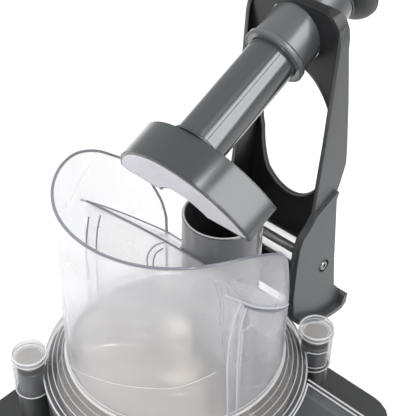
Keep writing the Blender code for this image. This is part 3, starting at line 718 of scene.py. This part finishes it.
def socket_details():
    """Bright rims on each magnet socket, and the rounded window in its skirt."""
    rims = ((13.9, 26.0, 0.8), (14.4, 21.9, 0.6), (11.2, 21.4, 0.7), (14.3, -13.4, 0.6))
    for side, turn in (("left", 135), ("right", -45)):
        # The rims and the window are near-white: painted highlights.
        x, y, _ = in_machine(middle(f"magnet_{side}"))
        for i, (radius, height, size) in enumerate(rims):
            ring = circle((x, y, height), radius, steps=48)
            clear_bead(f"socket_ring_{side}_{i}", ring, size, PAINTED_HIGHLIGHT, True)
        clear_bead(f"socket_window_{side}", socket_window(x, y, turn), 0.5, PAINTED_HIGHLIGHT, True)


def post_cores():
    """The dark top of each latch post, seen inside the clear skirt of its socket."""
    profile = [(0.01, 9.2), (10.2, 9.2), (11.0, 8.4), (11.0, -14.6), (0.01, -14.6)]
    for side in ("left", "right"):
        x, y, _ = in_machine(middle(f"magnet_{side}"))
        spun(f"post_core_{side}", profile, (x, y), MACHINE, POST, "base")


def chute_lines():
    """The chute cover's double border, its collar, and a plain arrow that shows which way food leaves."""
    # Every line here is a near-white bead: a painted highlight.
    for i, inner in enumerate((53.2, 57.0)):
        start = math.sqrt(LID_REACH**2 - inner**2)
        for letter, sign in (("a", 1), ("b", -1)):
            line = [(x, -inner * sign, COVER_TOP) for x in (start, COVER_END)]
            clear_bead(f"chute_border_{i}_{letter}", line, 0.7, PAINTED_HIGHLIGHT)
    clear_bead("chute_collar", circle((0, 0, 2.6), 111.4, steps=60, start=-29, end=29), 0.8, PAINTED_HIGHLIGHT)
    arrow = [(-14, -3), (2, -3), (2, -8), (14, 0), (2, 8), (2, 3), (-14, 3)]
    clear_bead("chute_arrow", [(136 + x, y, 2.35) for x, y in arrow], 0.45, PAINTED_HIGHLIGHT, True)


def hinge_details():
    """Beads at the hinge tube's ends."""
    hinge = in_machine(JOINTS["lever_swing"]["pos_m"])
    # The end beads are near-white: painted highlights.
    for i, x in enumerate((-HINGE_END, HINGE_END)):
        clear_bead(f"hinge_tube_end_{i}", circle((x, hinge.y, hinge.z), 10.2, "X", 48), 0.8, PAINTED_HIGHLIGHT, True)


# Lever ---------------------------------------------------------------------


def on_web(across, away, profile):
    """The point where the oval opening, square to the web, meets one face of the web."""
    cosine, sine = math.cos(WEB_TILT), math.sin(WEB_TILT)
    depth = 0.0
    for _ in range(12):
        y = OVAL_Y + away * cosine - depth * sine
        for (y0, z0), (y1, z1) in zip(profile, profile[1:]):
            if y <= y1 or y1 == profile[-1][0]:
                height = z0 + (z1 - z0) * (y - y0) / (y1 - y0)
                break
        depth = (height - OVAL_Z - away * sine) / cosine
    return (across, y, height)


def lever_beads():
    """Rolled lips: round the arm's opening, on the sleeve's mouth, and where the stem meets its plate."""
    over = [(y, z + WEB_THICKNESS) for y, z in WEB_UNDER]
    for i, profile in enumerate((WEB_UNDER, over)):
        oval = [on_web(x, y, profile) for x, y in oval_points(38.3, 66.3)]
        lever_bead(f"opening_lip_{i}", oval, 0.9, ARM)
    for i, (radius, height, size) in enumerate(((24.9, 59.6, 1.3), (24.6, 62.6, 0.9), (24.2, 126.8, 0.9))):
        ring = circle((0, STEM_Y, height), radius, steps=64)
        lever_bead(f"sleeve_bead_{i}", ring, size, ARM)
    lever_bead("stem_fillet", circle((0, STEM_Y, -31.6), 20.6, steps=64), 1.1, GLOSS)


def oval_points(half_x, half_y, steps=96):
    angles = [math.tau * step / steps for step in range(steps)]
    return [(half_x * math.cos(angle), half_y * math.sin(angle)) for angle in angles]


def plate_arcs(shrink):
    """The press plate's plan, drawn in by a little: its wide arc, and the notch for the disc's hub."""
    radius, rear, bite = 68 - shrink, -156 - shrink, 26 + shrink
    edge = math.degrees(math.asin((rear - PLATE_Y) / radius)) - 3
    dip = math.degrees(math.asin((rear - NOTCH_Y) / bite))
    wide = circle((0, PLATE_Y, 0), radius, steps=49, start=edge, end=-180 - edge)
    notch = circle((0, NOTCH_Y, 0), bite, steps=25, start=-180 - dip, end=dip)
    return [(x, y) for x, y, _ in wide], [(x, y) for x, y, _ in notch]


def plate_details():
    """A pale pad under the press plate, and rolled edges round its foot and its top."""
    wide, notch = plate_arcs(2.5)
    sheet("plate_pad", [*wide, *notch], -63.9, 0.9, LEVER, PAD, "lever")
    for i, (height, shrink, radius) in enumerate(((-62.6, 0.3, 0.8), (-33.0, 0.5, 0.6))):
        edge = [(x, y, height) for x, y in plate_arcs(shrink)[0]]
        lever_bead(f"plate_edge_{i}", edge, radius, GLOSS, False)


def stem_lines():
    """Two raised hairlines along the stem."""
    for i, angle in enumerate((-62, -48)):
        way = math.radians(angle)
        x, y = STEM_RADIUS * math.cos(way), STEM_Y + STEM_RADIUS * math.sin(way)
        lever_bead(f"stem_line_{i}", [(x, y, z) for z in (-30, 10, 57)], 0.3, GLOSS, False)


def screw_recesses():
    """A bead round the seat of each hinge screw."""
    for i, x in enumerate((-48.1, 48.1)):
        lever_bead(f"screw_recess_{i}", circle((x, 0, 0), 6.4, "X", 40), 0.5, ARM)


def knob_seams():
    for i, (radius, height) in enumerate(((35.9, 141.4), (22.6, 129.2))):
        ring = place(circle((0, STEM_Y, height), radius, steps=64), LEVER)
        tube(f"knob_seam_{i}", ring, 0.5, BLACK, "pusher")


# Rotor, bowl and base ------------------------------------------------------


def disc_details():
    """Two curved slicing blades and three raised rings on the disc."""
    for i in range(2):
        spots = []
        for step in range(13):
            share = step / 12
            radius, angle = 26 + 50 * share, math.pi * i + 0.5 * share
            spots.append((radius * math.cos(angle), radius * math.sin(angle), -7.2))
        tube(f"disc_blade_{i}", place(spots, MACHINE), 1.0, STEEL, "rotor", closed=False)
    for i, radius in enumerate((30, 60, 96)):
        ring = place(circle((0, 0, -7.9), radius), MACHINE)
        tube(f"disc_ring_{i}", ring, 0.6, STEEL, "rotor")


def hub_rings():
    for i, (radius, height) in enumerate(((14.0, 4.0), (13.9, 30.0))):
        ring = place(circle((0, 0, height), radius, steps=48), MACHINE)
        tube(f"hub_ring_{i}", ring, 0.6, DISC, "rotor")


def bowl_trim():
    """Ribs round the bowl, its foot line, and the seams on the latch posts."""
    for i, height in enumerate((-16.0, -84.6)):
        rib = place(circle((0, 0, height), 107.0, start=34, end=326), MACHINE)
        tube(f"bowl_rib_{i}", rib, 0.8, CASING, "base", closed=False)
    for side in ("left", "right"):
        x, y, _ = in_machine(middle(f"magnet_{side}"))
        outward = math.degrees(math.atan2(y, x))
        for i, height in enumerate((-15.6, -46.0)):
            arc = circle((x, y, height), 13.1, steps=36, start=outward - 110, end=outward + 110)
            tube(f"post_seam_{side}_{i}", place(arc, MACHINE), 0.45, POST, "base", closed=False)


def base_trim():
    """Bezels round the two buttons and rings on the cable gland."""
    for name in ("start_button", "stop_button"):
        low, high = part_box(name)
        face = in_machine(((low[0] + high[0]) / 2, low[1], (low[2] + high[2]) / 2))
        bezel = place(circle((face.x, face.y + 4.2, face.z), 10.4, "Y", 40), MACHINE)
        tube(f"{name}_bezel", bezel, 0.7, STEEL, "base")
    gland = in_machine(middle("cable_gland"))
    _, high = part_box("base_housing")
    wall = in_machine(high).y
    for i in range(3):
        ring = place(circle((gland.x, wall + 2.0 + 2.0 * i, gland.z), 12.1, "Y", 32), MACHINE)
        tube(f"gland_ring_{i}", ring, 0.5, BLACK, "base")


hopper_rim()
rib_edges()
wall_seams()
roof_edges()
hopper_foot()
feed_tube_rim()
lid_ridges()
socket_details()
post_cores()
chute_lines()
hinge_details()
lever_beads()
plate_details()
stem_lines()
screw_recesses()
knob_seams()
disc_details()
hub_rings()
bowl_trim()
base_trim()

# Studio --------------------------------------------------------------------


def camera():
    """Looks down on the machine from its front right."""
    level_x, level_y = math.sin(CAMERA_HEADING), math.cos(CAMERA_HEADING)
    flat = math.cos(CAMERA_PITCH)
    forward = Vector((level_x * flat, level_y * flat, -math.sin(CAMERA_PITCH)))
    level = Vector((level_y, -level_x, 0))
    up = level.cross(forward)
    right = level * math.cos(CAMERA_ROLL) + up * math.sin(CAMERA_ROLL)
    top = right.cross(forward)
    data = bpy.data.cameras.new("camera")
    data.lens = CAMERA_LENS
    data.sensor_width = 36
    data.clip_start = 0.01
    obj = bpy.data.objects.new("camera", data)
    bpy.context.scene.collection.objects.link(obj)
    turn = Matrix((right, top, -forward)).transposed().to_4x4()
    obj.matrix_world = Matrix.Translation(place([CAMERA_SPOT], MACHINE)[0]) @ turn
    bpy.context.scene.camera = obj


def softbox(name, spot, size, power, fills, target=LIGHTS_AIM):
    """A light that either fills, and is not reflected, or is only seen in reflections."""
    data = bpy.data.lights.new(name, "AREA")
    data.shape = "RECTANGLE"
    data.size, data.size_y = size
    data.energy = power
    obj = bpy.data.objects.new(name, data)
    bpy.context.scene.collection.objects.link(obj)
    obj.location = spot
    obj.rotation_euler = (Vector(target) - Vector(spot)).to_track_quat("-Z", "Y").to_euler()
    obj.visible_diffuse = fills
    obj.visible_glossy = not fills


def pale_floor():
    shape = bmesh.new()
    bmesh.ops.create_grid(shape, x_segments=1, y_segments=1, size=FLOOR_HALF)
    floor = mesh_object("floor", shape)
    bpy.context.scene.collection.objects.link(floor)
    nodes = Nodes("floor_paper")
    paper = nodes.blend(nodes.noise(3.0), (0.93, 0.93, 0.93, 1), (0.96, 0.96, 0.96, 1))
    nodes.set(Base_Color=paper, Roughness=0.9)
    floor.data.materials.append(nodes.material)


def studio():
    """A pale floor, plain soft light from above, the front and the left, and two reflected softboxes."""
    pale_floor()
    world = bpy.data.worlds.new("studio")
    world.use_nodes = True
    sky = world.node_tree.nodes["Background"]
    sky.inputs["Color"].default_value = (1, 1, 1, 1)
    sky.inputs["Strength"].default_value = WORLD_LIGHT
    bpy.context.scene.world = world
    bpy.context.scene.view_settings.view_transform = "Standard"
    softbox("right", (1.15, 0.1, 1.0), (0.8, 1.5), 23, False)
    softbox("stem_streak", (0.9, -0.6, 1.5), (0.14, 1.4), 19, False)
    softbox("front_fill", (-0.4, -2.2, 1.4), (2.5, 2.0), 22, True)
    softbox("left_fill", (-2.0, -0.5, 1.4), (2.5, 2.0), 9, True)
    softbox("above", (0.0, 0.4, 2.5), (5.0, 5.0), 90, True, (0.0, 0.4, 0))


camera()
studio()
